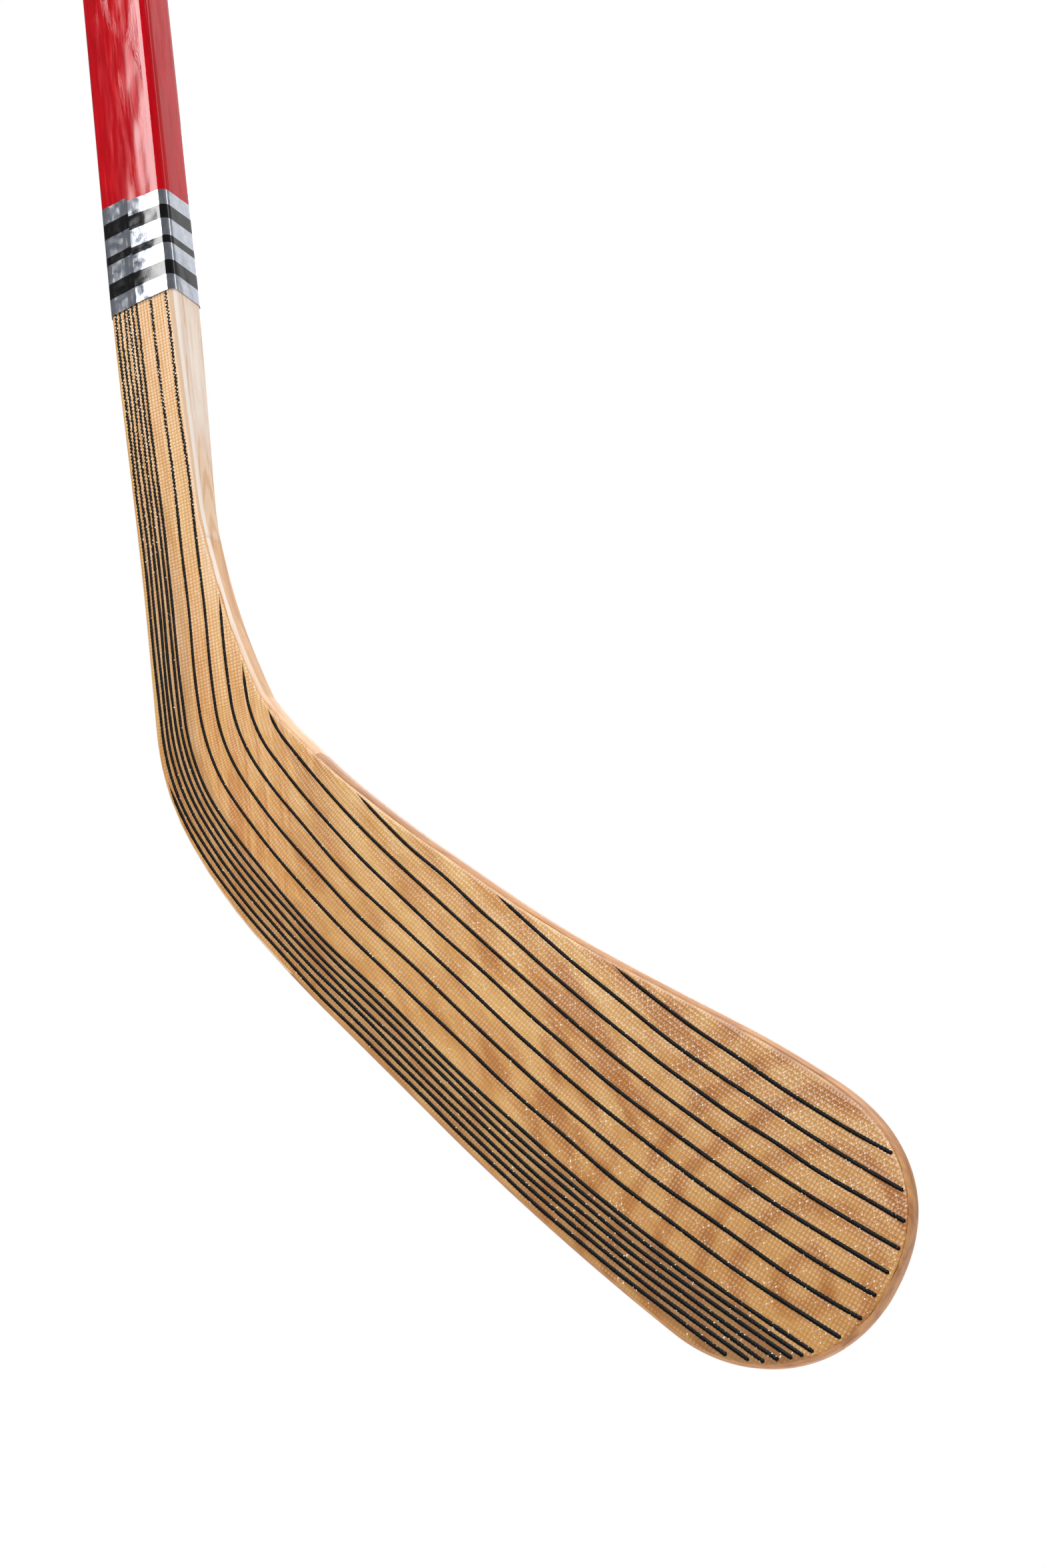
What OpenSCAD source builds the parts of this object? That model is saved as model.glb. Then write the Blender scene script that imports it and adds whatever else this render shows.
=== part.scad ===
// Laminated wooden ice hockey stick.
// The origin is the centre of the butt's end face. The shaft hangs down along -Z, the blade's toe
// points towards +X and the blade curves towards -Y, the side called the front.
//
// Everything below the butt is laid out on a strip: s is the distance below the foil band's lower
// edge, measured along the stick's heel-side edge, and d is the distance in from that edge.

/* [Shaft] */
// Width of the shaft's wide face
shaft_w = 29; // [27:0.5:31]
// Thickness of the shaft
shaft_t = 18.5; // [17:0.5:20]
// Radius of the shaft's long corners
corner_r = 3; // [2.5:0.25:3.5]
// Length from the butt to the lower edge of the foil band
shaft_len = 1235; // [1000:5:1320]
// Thickness of the wood strips on the narrow faces
edge_ply = 4; // [4:0.25:5]
// Thickness of the wood plies on the wide faces
face_ply = 2.4; // [1.5:0.1:3]
// Thickness of the glass skins and glass cloth
skin = 0.5; // [0.4:0.1:0.7]
// Thickness of the lacquer
lacquer = 0.25; // [0.2:0.05:0.3]

/* [Foil band] */
// Height of the foil band
band_h = 43; // [38:1:50]
// Thickness of the foil
foil = 0.3; // [0.3:0.05:0.45]
// Height of the two outer black stripes
stripe_wide = 6; // [4:0.5:8]
// Height of the middle black stripe
stripe_narrow = 3.2; // [2:0.2:5]
// Distance from one stripe's middle to the next
stripe_pitch = 12; // [10:0.5:13]

/* [Blade] */
// Turn from the shaft's line to the middle of the sole, in degrees
lie_turn = 40; // [36:1:44]
// Further turn of the sole towards the toe, in degrees
rocker = 10; // [6:1:15]
// How far the toe curves out of the shaft's plane
toe_bend = 37; // [15:1:45]
// Thickness at the heel
heel_t = 9.4; // [8.5:0.1:11]
// Thickness at the toe
toe_t = 6.4; // [5.5:0.1:7.5]
// Greatest height from the sole to the top edge
blade_h = 82.5; // [72:0.5:84]
// Corner radius on the wood rim
rim_r = 2; // [1.5:0.25:2.25]

/* [Black yarns] */
// Number of closely spaced yarns beside the sole
dense_yarns = 7; // [5:1:8]
// Number of widely spaced yarns above them
wide_yarns = 8; // [6:1:8]
// Spacing of the close yarns on the blade
dense_pitch = 2.26; // [2:0.02:2.4]
// Spacing of the wide yarns on the blade
wide_pitch = 6.9; // [6.5:0.1:7]
// How far a yarn stands up from the cloth
yarn_h = 0.25; // [0.15:0.05:0.25]

/* [Hidden] */

// Runs of the heel-side edge below the band, each a length and the angle it turns through
edge_runs = [[165, 0], [44, 0.6 * lie_turn], [44, 0.275 * lie_turn], [44, 0.1125 * lie_turn],
    [60, 0.0125 * lie_turn], [160, rocker]];
heel_s = 198;            // where the lines of the shaft and the sole would cross
bend_len = 313;          // sole length over which toe_bend is reached
taper_s = -12;           // where the neck starts to thin
taper_len = 140;         // length of that taper
cloth_s = -30;           // the blade's cloth starts here, under the foil band
// The top edge leaves the shaft's line, as [s, share of the way from shaft_w to blade_h]
top_edge = [[85, 0], [110, 0.045], [135, 0.135], [155, 0.24], [170, 0.33], [185, 0.4], [205, 0.47],
    [240, 0.555], [300, 0.665], [340, 0.74], [400, 0.9], [440, 0.985], [475, 1]];
toe_s = 464;             // the toe's rounding starts here
toe_run = 52.5;          // and takes this length
tip_d = 42.7;            // height of the toe's tip above the sole
toe_power = 2.35;        // squareness of the toe's upper corner
end_s = toe_s + toe_run;
rocker_s = 357;          // the rocker starts here, and the yarns curve less than the sole
yarn_rise = 2.8;         // so that they are this much further from it at the toe
edge_gap = 0.15;         // the cloth is trimmed this far inside the corner's tangent
notch_s = 100;           // the heel wedge's blunt upper end sits in a notch here
notch = 1.5;
core_half = shaft_t / 2 - skin - face_ply;
blade_low_d = 24;        // glue lines between the three blade strips
blade_high_d = 48;
joint_s = 285;           // the finger joint's mean place at the sole
joint_slope = 1.45;      // and how fast it climbs towards the butt
finger = 11;             // half the fingers' length
finger_pitch = 4;        // half the spacing of the fingers
joint_top_d = 52;        // above this the joint is a plain butt
joint_cols = [0.25, 0.5, 0.75, 1];
rim_rows = [0.6, 1.8];   // rows that follow the rounded rim
yarn_margin = 1.2;       // cloth left between a yarn's end and the rim
yarn_w = [0.8, 1.2];     // width of a yarn at the neck and at the toe

function clamp(v) = min(max(v, 0), 1);
function ease(v) = clamp(v) * clamp(v) * (3 - 2 * clamp(v));
function mix(a, b, f) = a + (b - a) * f;

// A smooth curve through points [x, y], level at both ends
function slope_at(p, i) = i == 0 || i == len(p) - 1 ? 0
    : (p[i + 1][1] - p[i - 1][1]) / (p[i + 1][0] - p[i - 1][0]);
function smooth(p, x) = x <= p[0][0] ? p[0][1] : x >= p[len(p) - 1][0] ? p[len(p) - 1][1]
    : let (i = max([for (k = [0 : len(p) - 2]) if (p[k][0] <= x) k]), h = p[i + 1][0] - p[i][0],
        f = (x - p[i][0]) / h, e = ease(f))
        mix(p[i][1], p[i + 1][1], e)
            + h * (slope_at(p, i) * f * pow(1 - f, 2) - slope_at(p, i + 1) * f * f * (1 - f));

// A point [x, z, angle] moved a length along an arc of so many degrees a millimetre
function step(p, l, bend) = bend == 0
    ? [p[0] + l * sin(p[2]), p[1] - l * cos(p[2]), p[2]]
    : let (a = p[2] + bend * l, r = 180 / (PI * bend))
        [p[0] + r * (cos(p[2]) - cos(a)), p[1] - r * (sin(a) - sin(p[2])), a];
function bend_of(i) = edge_runs[i][1] / edge_runs[i][0];
function walk(s, p, i) = i == len(edge_runs) - 1 || s <= edge_runs[i][0]
    ? step(p, s, bend_of(i))
    : walk(s - edge_runs[i][0], step(p, edge_runs[i][0], bend_of(i)), i + 1);
function edge(s) = walk(s, [-shaft_w / 2, -shaft_len, 0], 0);

// The blade's curve: nothing above the heel, growing as the square of the distance along the sole
function along_sole(x, z) =
    (x + shaft_w / 2) * sin(lie_turn) - (z + shaft_len + heel_s) * cos(lie_turn);
function curve_y(x, z) = -toe_bend * pow(max(along_sole(x, z), 0) / bend_len, 2);

// The point at s and d, a distance y behind the middle surface
function at(s, d, y) = let (e = edge(s), x = e[0] + d * cos(e[2]), z = e[1] + d * sin(e[2]))
    [x, curve_y(x, z) + y, z];

function neckness(s) = 0.5 + 0.5 * cos(180 * clamp((s - taper_s) / taper_len));
function thick(s) = mix(heel_t, toe_t, clamp((s - heel_s) / (end_s - heel_s)))
    + (shaft_t - heel_t) * neckness(s);
function round_r(s) = mix(rim_r, corner_r, neckness(s));

// Lower and upper outline: the sole, the top edge and the toe's two quadrants
function top_d(s) = mix(shaft_w, blade_h, smooth(top_edge, s));
function toe_f(s) = clamp((s - toe_s) / toe_run);
function low_d(s) = tip_d * (1 - sqrt(1 - pow(toe_f(s), 2)));
function high_d(s) = s <= toe_s ? top_d(s)
    : tip_d + (top_d(toe_s) - tip_d) * pow(1 - pow(toe_f(s), toe_power), 1 / toe_power);

// Half the thickness at s, a distance e inside the outline, with the rounded corner
function corner_drop(r, e) = e >= r ? 0 : r - sqrt(max(r * r - pow(r - max(e, 0), 2), 0));
function half_at(s, e) = thick(s) / 2 - corner_drop(round_r(s), e);
function inset(s, d) = min(d - low_d(s), high_d(s) - d);
function wood_half(s, d) = min(half_at(s, inset(s, d)), thick(s) / 2 - skin);
// The distance in from the edge at which the rounded corner is as deep as the cloth
function cloth_edge(s) = corner_drop(round_r(s), skin) + edge_gap;

// The finger joint between the shaft's wood and the blade's
function zigzag(d) = let (f = d / finger_pitch, k = floor(f)) (k % 2 == 0 ? f - k : 1 - f + k);
function joint_at(d) = let (v = min(d, joint_top_d))
    joint_s - joint_slope * v + finger * (2 * zigzag(v) - 1);

// Where the grids have their columns
shaft_cols = [-shaft_len, cloth_s, taper_s];
neck_cols = [for (s = [0 : 12 : 96]) s, notch_s, notch_s + 0.5, for (s = [108 : 12 : 156]) s];
heel_cols = [for (s = [165 : 9 : 192]) s];
sole_cols = [for (s = [308 : 14 : 448]) s];
toe_cols = [for (a = [0 : 11 : 77]) toe_s + toe_run * sin(a)];
last_s = toe_s + toe_run * sin(85);

// A solid between two grids of points with the same rows and columns
module slab(front, back) {
    n = len(front);
    m = len(front[0]);
    function f(i, j) = i * m + j;
    function b(i, j) = (n + i) * m + j;
    quads = [
        for (i = [0 : n - 2], j = [0 : m - 2]) each [
            [f(i, j), f(i + 1, j), f(i + 1, j + 1), f(i, j + 1)],
            [b(i, j), b(i, j + 1), b(i + 1, j + 1), b(i + 1, j)]],
        for (j = [0 : m - 2]) each [
            [f(0, j), f(0, j + 1), b(0, j + 1), b(0, j)],
            [f(n - 1, j + 1), f(n - 1, j), b(n - 1, j), b(n - 1, j + 1)]],
        for (i = [0 : n - 2]) each [
            [f(i + 1, 0), f(i, 0), b(i, 0), b(i + 1, 0)],
            [f(i, m - 1), f(i + 1, m - 1), b(i + 1, m - 1), b(i, m - 1)]]];
    polyhedron([for (r = front) each r, for (r = back) each r],
        [for (q = quads) each [[q[0], q[1], q[2]], [q[0], q[2], q[3]]]]);
}

// A solid of wood over a grid of [s, d] cells, no thicker than twice inner
module wood(cells, inner = shaft_t) {
    function lay(side) = [for (row = cells) [for (c = row)
        at(c[0], c[1], side * min(inner, wood_half(c[0], c[1])))]];
    slab(lay(-1), lay(1));
}

// The heights between d0 and d1 at which the joint has a finger's tip or root
function finger_rows(d0, d1) = let (first = floor(d0 / finger_pitch) + 1,
        last = ceil(min(d1, joint_top_d + 0.1) / finger_pitch) - 1)
    [for (k = [first : 1 : last]) k * finger_pitch];

// The shaft's wood runs from the butt to the finger joint. d_of gives a row's place at s.
module shaft_strip(rows, d_of, inner = shaft_t) {
    cols = concat(shaft_cols, neck_cols, heel_cols);
    from = cols[len(cols) - 1];
    wood([for (r = rows) [
        for (s = cols) [s, d_of(r, s)],
        for (f = joint_cols) let (d = d_of(r, from)) [mix(from, joint_at(d), f), d]]], inner);
}

module shaft_core(k) {
    strip = (shaft_w - 2 * edge_ply) / 3;
    d0 = edge_ply + k * strip;
    d1 = d0 + strip;
    color("burlywood") shaft_strip([d0, each finger_rows(d0, d1), d1], function (r, s) r, core_half);
}

module shaft_edge_ply_heel_side() {
    rows = [0, 0.1, 0.3, 0.6, 1] * corner_r;
    color("wheat") shaft_strip([each rows, edge_ply], function (r, s) r);
}

// The toe-side ply's outer edge is the outline above the notch and the wedge's seat below it
function ply_outer(s) = s <= notch_s ? high_d(s)
    : mix(high_d(notch_s) - notch, shaft_w, clamp((s - notch_s) / 24));

module shaft_edge_ply_toe_side() {
    rows = [0, 0.3, 0.6, 0.75, 0.925, 1];
    color("wheat") shaft_strip(rows, function (r, s) mix(shaft_w - edge_ply, ply_outer(s), r));
}

// A face ply, feathered out where the neck is planed thinner than the core and its plies
module shaft_face_ply(side) {
    cols = [each shaft_cols, for (s = neck_cols) if (thick(s) / 2 - skin > core_half + 0.1) s];
    function lay(face) = [for (d = [edge_ply, shaft_w - edge_ply]) [for (s = cols)
        at(s, d, side * (face ? thick(s) / 2 - skin : core_half))]];
    color("tan") slab(lay(side < 0), lay(side > 0));
}

// A sheet of glass on a wide face, between the rounded corners, over the given columns
module sheet(side, cols) {
    function rows(s) = let (lo = low_d(s), hi = high_d(s), e = cloth_edge(s), r = round_r(s))
        [lo + e, lo + (e + r) / 2, for (f = [0 : 0.25 : 1]) mix(lo + r, hi - r, f),
            hi - (e + r) / 2, hi - e];
    function lay(outer) = [for (i = [0 : 8]) [for (s = cols) let (d = rows(s)[i])
        at(s, d, side * (outer ? half_at(s, inset(s, d)) : thick(s) / 2 - skin))]];
    slab(lay(side < 0), lay(side > 0));
}

module shaft_skin(side) {
    color("navajowhite") sheet(side, [-shaft_len, cloth_s]);
}

module blade_cloth(side) {
    heel_to_sole = [for (s = [201 : 12 : 300]) s];
    cols = [cloth_s, taper_s, each neck_cols, each heel_cols, each heel_to_sole, each sole_cols,
        each toe_cols];
    color("goldenrod") sheet(side, cols);
}

// The shaft's outline grown by a margin
module shaft_outline(grow) {
    w = shaft_w / 2 + grow;
    t = shaft_t / 2 + grow;
    r = corner_r + grow;
    square([2 * w - 2 * r, 2 * t], center = true);
    square([2 * w, 2 * t - 2 * r], center = true);
    for (x = [-1, 1], y = [-1, 1]) translate([x * (w - r), y * (t - r)]) circle(r = r, $fn = 48);
}

// A sleeve round the shaft from s0 down to s1
module sleeve(s0, s1, inside, outside) {
    translate([0, 0, -shaft_len - s1]) linear_extrude(s1 - s0) difference() {
        shaft_outline(outside);
        shaft_outline(inside);
    }
}

module lacquer_coat() {
    color("crimson") sleeve(-shaft_len, -band_h, 0, lacquer);
}

module foil_band() {
    color("silver") sleeve(-band_h, 0, 0, foil);
}

module band_stripes() {
    ink = 0.05;
    for (k = [-1 : 1]) {
        h = k == 0 ? stripe_narrow : stripe_wide;
        mid = -band_h / 2 + k * stripe_pitch;
        color("black") sleeve(mid - h / 2, mid + h / 2, foil, foil + ink);
    }
}

// The wedge that widens the neck into the blade, glued to the shaft's toe side
module heel_wedge() {
    cols = [for (s = [each neck_cols, each heel_cols]) if (s > notch_s) s];
    from = cols[len(cols) - 1];
    top = high_d(joint_at(joint_top_d));
    rows = [shaft_w, each finger_rows(shaft_w, top), joint_top_d, top - rim_rows[1],
        top - rim_rows[0], top];
    function share(r, s) = mix(ply_outer(s), high_d(s), (r - shaft_w) / (top - shaft_w));
    color("peru") wood([for (r = rows) [
        for (s = cols) [s, share(r, s)],
        for (f = joint_cols) let (s = mix(from, joint_at(r), f)) [s, mix(share(r, s), r, f)]]]);
}

// A strip of the blade's wood from the finger joint to the toe, between two glue lines
module blade_strip(rows, upper = false) {
    d0 = rows[0];
    d1 = rows[len(rows) - 1];
    function lo(s) = max(d0, low_d(s));
    function hi(s) = upper ? high_d(s) : min(d1, high_d(s));
    function cell(r, s) = [s, mix(lo(s), hi(s), (r - d0) / (d1 - d0))];
    first = sole_cols[0];
    cols = [for (s = [each sole_cols, each toe_cols, last_s]) if (hi(s) - lo(s) > 1) s];
    wood([for (r = rows) [
        for (f = [0 : 0.2 : 0.8]) cell(r, mix(joint_at(r), first, f)),
        for (s = cols) cell(r, s)]]);
}

module blade_core_lower() {
    rows = [0, each rim_rows, each finger_rows(0, blade_low_d), blade_low_d];
    color("chocolate") blade_strip(rows);
}

module blade_core_middle() {
    rows = [blade_low_d, each finger_rows(blade_low_d, blade_high_d), blade_high_d];
    color("sandybrown") blade_strip(rows);
}

module blade_core_upper() {
    top = high_d(joint_at(joint_top_d));
    rows = [blade_high_d, joint_top_d, top - rim_rows[1], top - rim_rows[0], top];
    color("chocolate") blade_strip(rows, upper = true);
}

// A yarn's place on the neck, where the cloth is narrow, and on the blade
function pitch_sum(k, dense, wide) = dense * min(k, dense_yarns - 1) + wide * max(k - dense_yarns + 1, 0);
function neck_d(k) = 1 + pitch_sum(k, 1.9, 6.5);
function blade_d(k) = 2.9 + pitch_sum(k, dense_pitch, wide_pitch);
function yarn_d(k, s) = mix(neck_d(k), blade_d(k), ease((s - 140) / 110))
    + yarn_rise * pow(max(s - rocker_s, 0) / (end_s - rocker_s), 2);
function on_cloth(k, s) = inset(s, yarn_d(k, s)) > yarn_margin + rim_r / 2;

// One black yarn laid along the stick on the cloth's surface, trimmed at its edge
module yarn(k, side) {
    on_neck = yarn_d(k, 0) < shaft_w - 1.5;
    spots = [for (s = [60 : 4 : end_s]) if (on_cloth(k, s)) s];
    s0 = on_neck ? 0 : spots[0];
    s1 = spots[len(spots) - 1];
    cols = [for (f = [0 : 22]) mix(s0, s1, f / 22)];
    function width(s) = mix(yarn_w[0], yarn_w[1], clamp(s / toe_s));
    function lay(up) = [for (e = [-0.5, 0.5]) [for (s = cols) let (d = yarn_d(k, s) + e * width(s))
        at(s, d, side * (half_at(s, inset(s, d)) + (up ? yarn_h : 0)))]];
    slab(lay(side < 0), lay(side > 0));
}

module yarns(side) {
    color("black") for (k = [0 : dense_yarns + wide_yarns - 1]) yarn(k, side);
}

shaft_core(0);  // shaft_core_heel_side
shaft_core(1);  // shaft_core_middle
shaft_core(2);  // shaft_core_toe_side
shaft_face_ply(-1);  // shaft_face_ply_front
shaft_face_ply(1);  // shaft_face_ply_back
shaft_edge_ply_heel_side();
shaft_edge_ply_toe_side();
shaft_skin(-1);  // shaft_skin_front
shaft_skin(1);  // shaft_skin_back
lacquer_coat();
foil_band();
band_stripes();
heel_wedge();
blade_core_lower();
blade_core_middle();
blade_core_upper();
blade_cloth(-1);  // blade_cloth_front
blade_cloth(1);  // blade_cloth_back
yarns(-1);  // yarns_front
yarns(1);  // yarns_back
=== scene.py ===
"""The looks of a laminated wooden ice hockey stick, built around its CAD frame.

Points on the stick are worked out in millimetres on a strip, as in the CAD part: s is the distance below the
foil band's lower edge, measured along the heel-side edge, and d is the distance in from that edge. Meshes are
in metres.
"""
import math

import bpy
import numpy as np
from mathutils import Matrix, Vector


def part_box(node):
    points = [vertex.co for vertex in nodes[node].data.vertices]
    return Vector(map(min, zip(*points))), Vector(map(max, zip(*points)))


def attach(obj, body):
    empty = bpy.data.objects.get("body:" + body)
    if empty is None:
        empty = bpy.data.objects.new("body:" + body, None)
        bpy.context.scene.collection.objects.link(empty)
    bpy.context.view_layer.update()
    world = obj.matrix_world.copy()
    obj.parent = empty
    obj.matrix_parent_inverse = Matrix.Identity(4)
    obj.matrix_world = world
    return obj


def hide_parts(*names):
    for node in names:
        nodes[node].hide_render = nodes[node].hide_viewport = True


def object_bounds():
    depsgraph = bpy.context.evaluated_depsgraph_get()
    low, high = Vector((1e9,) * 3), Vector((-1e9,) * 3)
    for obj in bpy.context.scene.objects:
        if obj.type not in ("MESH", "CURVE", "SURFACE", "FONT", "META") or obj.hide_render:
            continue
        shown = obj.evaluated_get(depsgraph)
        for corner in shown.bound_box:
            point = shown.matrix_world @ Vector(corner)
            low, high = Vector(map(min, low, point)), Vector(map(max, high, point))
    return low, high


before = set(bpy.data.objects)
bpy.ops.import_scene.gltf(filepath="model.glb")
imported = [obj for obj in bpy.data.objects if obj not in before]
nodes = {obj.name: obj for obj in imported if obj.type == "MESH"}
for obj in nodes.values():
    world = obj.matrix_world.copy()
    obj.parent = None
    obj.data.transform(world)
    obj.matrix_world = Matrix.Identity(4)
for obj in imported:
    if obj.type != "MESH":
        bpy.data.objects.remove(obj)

cad_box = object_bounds()
MM = 0.001

# The stick's driving sizes in millimetres. Those that the frame's boxes show are read from it.
SHAFT_W = -2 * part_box("shaft_edge_ply_heel_side")[0].x / MM
SHAFT_LEN = -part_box("foil_band")[0].z / MM
BAND_H = (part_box("foil_band")[1].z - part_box("foil_band")[0].z) / MM
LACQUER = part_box("lacquer_coat")[1].x / MM - SHAFT_W / 2
SHAFT_T = 2 * (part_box("lacquer_coat")[1].y / MM - LACQUER)
CORNER_R = 3
SKIN = 0.5
EDGE_PLY = 4
LIE_TURN, ROCKER = 40, 10
EDGE_RUNS = [(165, 0), (44, 0.6 * LIE_TURN), (44, 0.275 * LIE_TURN), (44, 0.1125 * LIE_TURN),
             (60, 0.0125 * LIE_TURN), (160, ROCKER)]
HEEL_S = 198
TOE_BEND, BEND_LEN = 37, 313
HEEL_T, TOE_T = 9.4, 6.4
TAPER_S, TAPER_LEN = -12, 140
CLOTH_S = -30
BLADE_H = 82.5
TOP_EDGE = [(85, 0), (110, 0.045), (135, 0.135), (155, 0.24), (170, 0.33), (185, 0.4), (205, 0.47),
            (240, 0.555), (300, 0.665), (340, 0.74), (400, 0.9), (440, 0.985), (475, 1)]
TOE_S, TOE_RUN, TIP_D, TOE_POWER = 464, 52.5, 42.7, 2.35
END_S = TOE_S + TOE_RUN
ROCKER_S, YARN_RISE = 357, 2.8
RIM_R = 2
NOTCH_S, NOTCH, NOTCH_RUN = 100, 1.5, 24
BLADE_LOW_D, BLADE_HIGH_D = 24, 48
JOINT_S, JOINT_SLOPE, FINGER, FINGER_PITCH, JOINT_TOP_D = 285, 1.45, 11, 4, 52
DENSE_YARNS, WIDE_YARNS = 7, 8
YARNS = DENSE_YARNS + WIDE_YARNS
FIRST_D, DENSE_PITCH, WIDE_PITCH = 2.9, 2.26, 6.9
NECK_FIRST_D, NECK_DENSE_PITCH, NECK_WIDE_PITCH = 1, 1.9, 6.5
SPREAD_S, SPREAD_LEN = 140, 110
YARN_W = (0.8, 1.2)
YARN_H = 0.25
WEAVE = 1.3  # spacing of the glass cloth's threads


# ---- camera

AZIMUTH, ELEVATION, ROLL = 25.49, -20.36, -8.46  # in degrees
LENS = 54.93
EYE = (0.4250, -0.6401, -0.4873)  # in metres, from the shaft's centre line at the band's lower edge


def add(name, data):
    """A new object of the scene."""
    thing = bpy.data.objects.new(name, data)
    bpy.context.scene.collection.objects.link(thing)
    return thing


def place_camera():
    azimuth, elevation, roll = (math.radians(a) for a in (AZIMUTH, ELEVATION, ROLL))
    back = Vector((math.sin(azimuth) * math.cos(elevation), -math.cos(azimuth) * math.cos(elevation),
                   math.sin(elevation)))
    level = Vector((0, 0, 1)).cross(back).normalized()
    above = back.cross(level)
    right = math.cos(roll) * level + math.sin(roll) * above
    up = back.cross(right)
    data = bpy.data.cameras.new("camera")
    data.sensor_width = 36
    data.lens = LENS
    data.clip_start = 0.01
    camera = add("camera", data)
    camera.matrix_world = Matrix((right, up, back)).transposed().to_4x4()
    camera.location = Vector((EYE[0], EYE[1], EYE[2] - SHAFT_LEN * MM))
    bpy.context.scene.camera = camera


place_camera()


# ---- the strip

def clamp(v):
    return np.clip(v, 0, 1)


def ease(v):
    return clamp(v) ** 2 * (3 - 2 * clamp(v))


def mix(a, b, f):
    return a + (b - a) * f


def smooth(points, x):
    """A smooth curve through points, level at both ends."""
    px, py = np.array(points, float).T
    slope = np.zeros(len(px))
    slope[1:-1] = (py[2:] - py[:-2]) / (px[2:] - px[:-2])
    i = np.clip(np.searchsorted(px, x, "right") - 1, 0, len(px) - 2)
    h = px[i + 1] - px[i]
    f = clamp((x - px[i]) / h)
    return mix(py[i], py[i + 1], ease(f)) + h * (slope[i] * f * (1 - f) ** 2 - slope[i + 1] * f * f * (1 - f))


def edge(s):
    """The heel-side edge: x, z and the angle it has turned through, in radians."""
    s = np.asarray(s, float)
    x, z, turned = np.full(s.shape, -SHAFT_W / 2), np.full(s.shape, -SHAFT_LEN), np.zeros(s.shape)
    start = 0
    for i, (length, degrees) in enumerate(EDGE_RUNS):
        low = -np.inf if i == 0 else 0
        high = np.inf if i == len(EDGE_RUNS) - 1 else length
        run = np.clip(s - start, low, high)
        bend = math.radians(degrees) / length
        after = turned + bend * run
        if bend == 0:
            x, z = x + run * np.sin(turned), z - run * np.cos(turned)
        else:
            x = x + (np.cos(turned) - np.cos(after)) / bend
            z = z - (np.sin(after) - np.sin(turned)) / bend
        turned = after
        start += length
    return x, z, turned


def plane_point(s, d):
    x, z, turned = edge(s)
    return x + d * np.cos(turned), z + d * np.sin(turned)


def place(s, d, y):
    """Points in metres, y behind the middle surface, with the blade's curve."""
    x, z = plane_point(s, d)
    lie = math.radians(LIE_TURN)
    along = (x + SHAFT_W / 2) * math.sin(lie) - (z + SHAFT_LEN + HEEL_S) * math.cos(lie)
    curve = -TOE_BEND * (np.maximum(along, 0) / BEND_LEN) ** 2
    return np.stack(np.broadcast_arrays(x, curve + y, z), -1) * MM


def neckness(s):
    return 0.5 + 0.5 * np.cos(math.pi * clamp((s - TAPER_S) / TAPER_LEN))


def thick(s):
    return mix(HEEL_T, TOE_T, clamp((s - HEEL_S) / (END_S - HEEL_S))) + (SHAFT_T - HEEL_T) * neckness(s)


def round_r(s):
    return mix(RIM_R, CORNER_R, neckness(s))


def top_d(s):
    return mix(SHAFT_W, BLADE_H, smooth(TOP_EDGE, s))


def low_d(s, trim=0, toe_trim=0):
    """The lower outline. With a trim it runs that far inside."""
    f = clamp((s - TOE_S) / (TOE_RUN - toe_trim))
    return mix(trim, TIP_D, 1 - np.sqrt(1 - f ** 2))


def high_d(s, trim=0, toe_trim=0):
    f = clamp((s - TOE_S) / (TOE_RUN - toe_trim))
    toe = mix(TIP_D, top_d(TOE_S) - trim, (1 - f ** TOE_POWER) ** (1 / TOE_POWER))
    return np.where(s <= TOE_S, top_d(s) - trim, toe)


def toe_spots(run, stop, step):
    """Values of s round the toe, closer together towards its end. stop and step are in degrees."""
    return TOE_S + run * np.sin(np.radians(np.arange(0, stop, step)))


def outline():
    """The outline as points (x, z) on the flat blade: down the sole, round the toe and back up."""
    toe = toe_spots(TOE_RUN, 90.1, 1)
    s = np.concatenate([[-SHAFT_LEN], np.arange(-50, TOE_S, 2.5), toe])
    low = np.stack(plane_point(s, low_d(s)), -1)
    high = np.stack(plane_point(s, high_d(s)), -1)
    return np.concatenate([low, high[::-1]])


OUTLINE = outline()
NEAR_RIM = 7


def inset(s, d):
    """The distance in from the outline. It is exact near the rim, and only large elsewhere."""
    s, d = np.broadcast_arrays(np.asarray(s, float), np.asarray(d, float))
    found = np.minimum(d - low_d(s), high_d(s) - d)
    near = (found < NEAR_RIM) & (s > CLOTH_S)
    near |= s > END_S - NEAR_RIM
    x, z = plane_point(s[near], d[near])
    points = np.stack([x, z], -1)[:, None, :]
    a, b = OUTLINE[:-1], OUTLINE[1:]
    side = b - a
    span = np.maximum((side ** 2).sum(-1), 1e-12)
    best = np.empty(len(points))
    for i in range(0, len(points), 2000):
        offset = points[i:i + 2000] - a
        f = clamp((offset * side).sum(-1) / span)
        best[i:i + 2000] = np.sqrt(((offset - f[..., None] * side) ** 2).sum(-1)).min(1)
    out = found.copy()
    out[near] = best
    return np.maximum(out, 0)


def corner_drop(r, e):
    return np.where(e >= r, 0, r - np.sqrt(np.maximum(r * r - (r - np.minimum(e, r)) ** 2, 0)))


def half_at(s, e):
    """Half the thickness at s, a distance e inside the outline, with the rounded corner."""
    return thick(s) / 2 - corner_drop(round_r(s), e)


# How far the glass cloth is cut back from the sole, the toe, and the top edge on the neck and on the blade.
SOLE_TRIM, TOE_TRIM, NECK_TRIM, BLADE_TRIM = 1.0, 1.3, 0.9, 1.3
CLOTH_END = END_S - TOE_TRIM


def cloth_low(s):
    return low_d(s, SOLE_TRIM, TOE_TRIM)


def cloth_high(s):
    return high_d(s, mix(NECK_TRIM, BLADE_TRIM, ease((s - 90) / 60)), TOE_TRIM)


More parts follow.
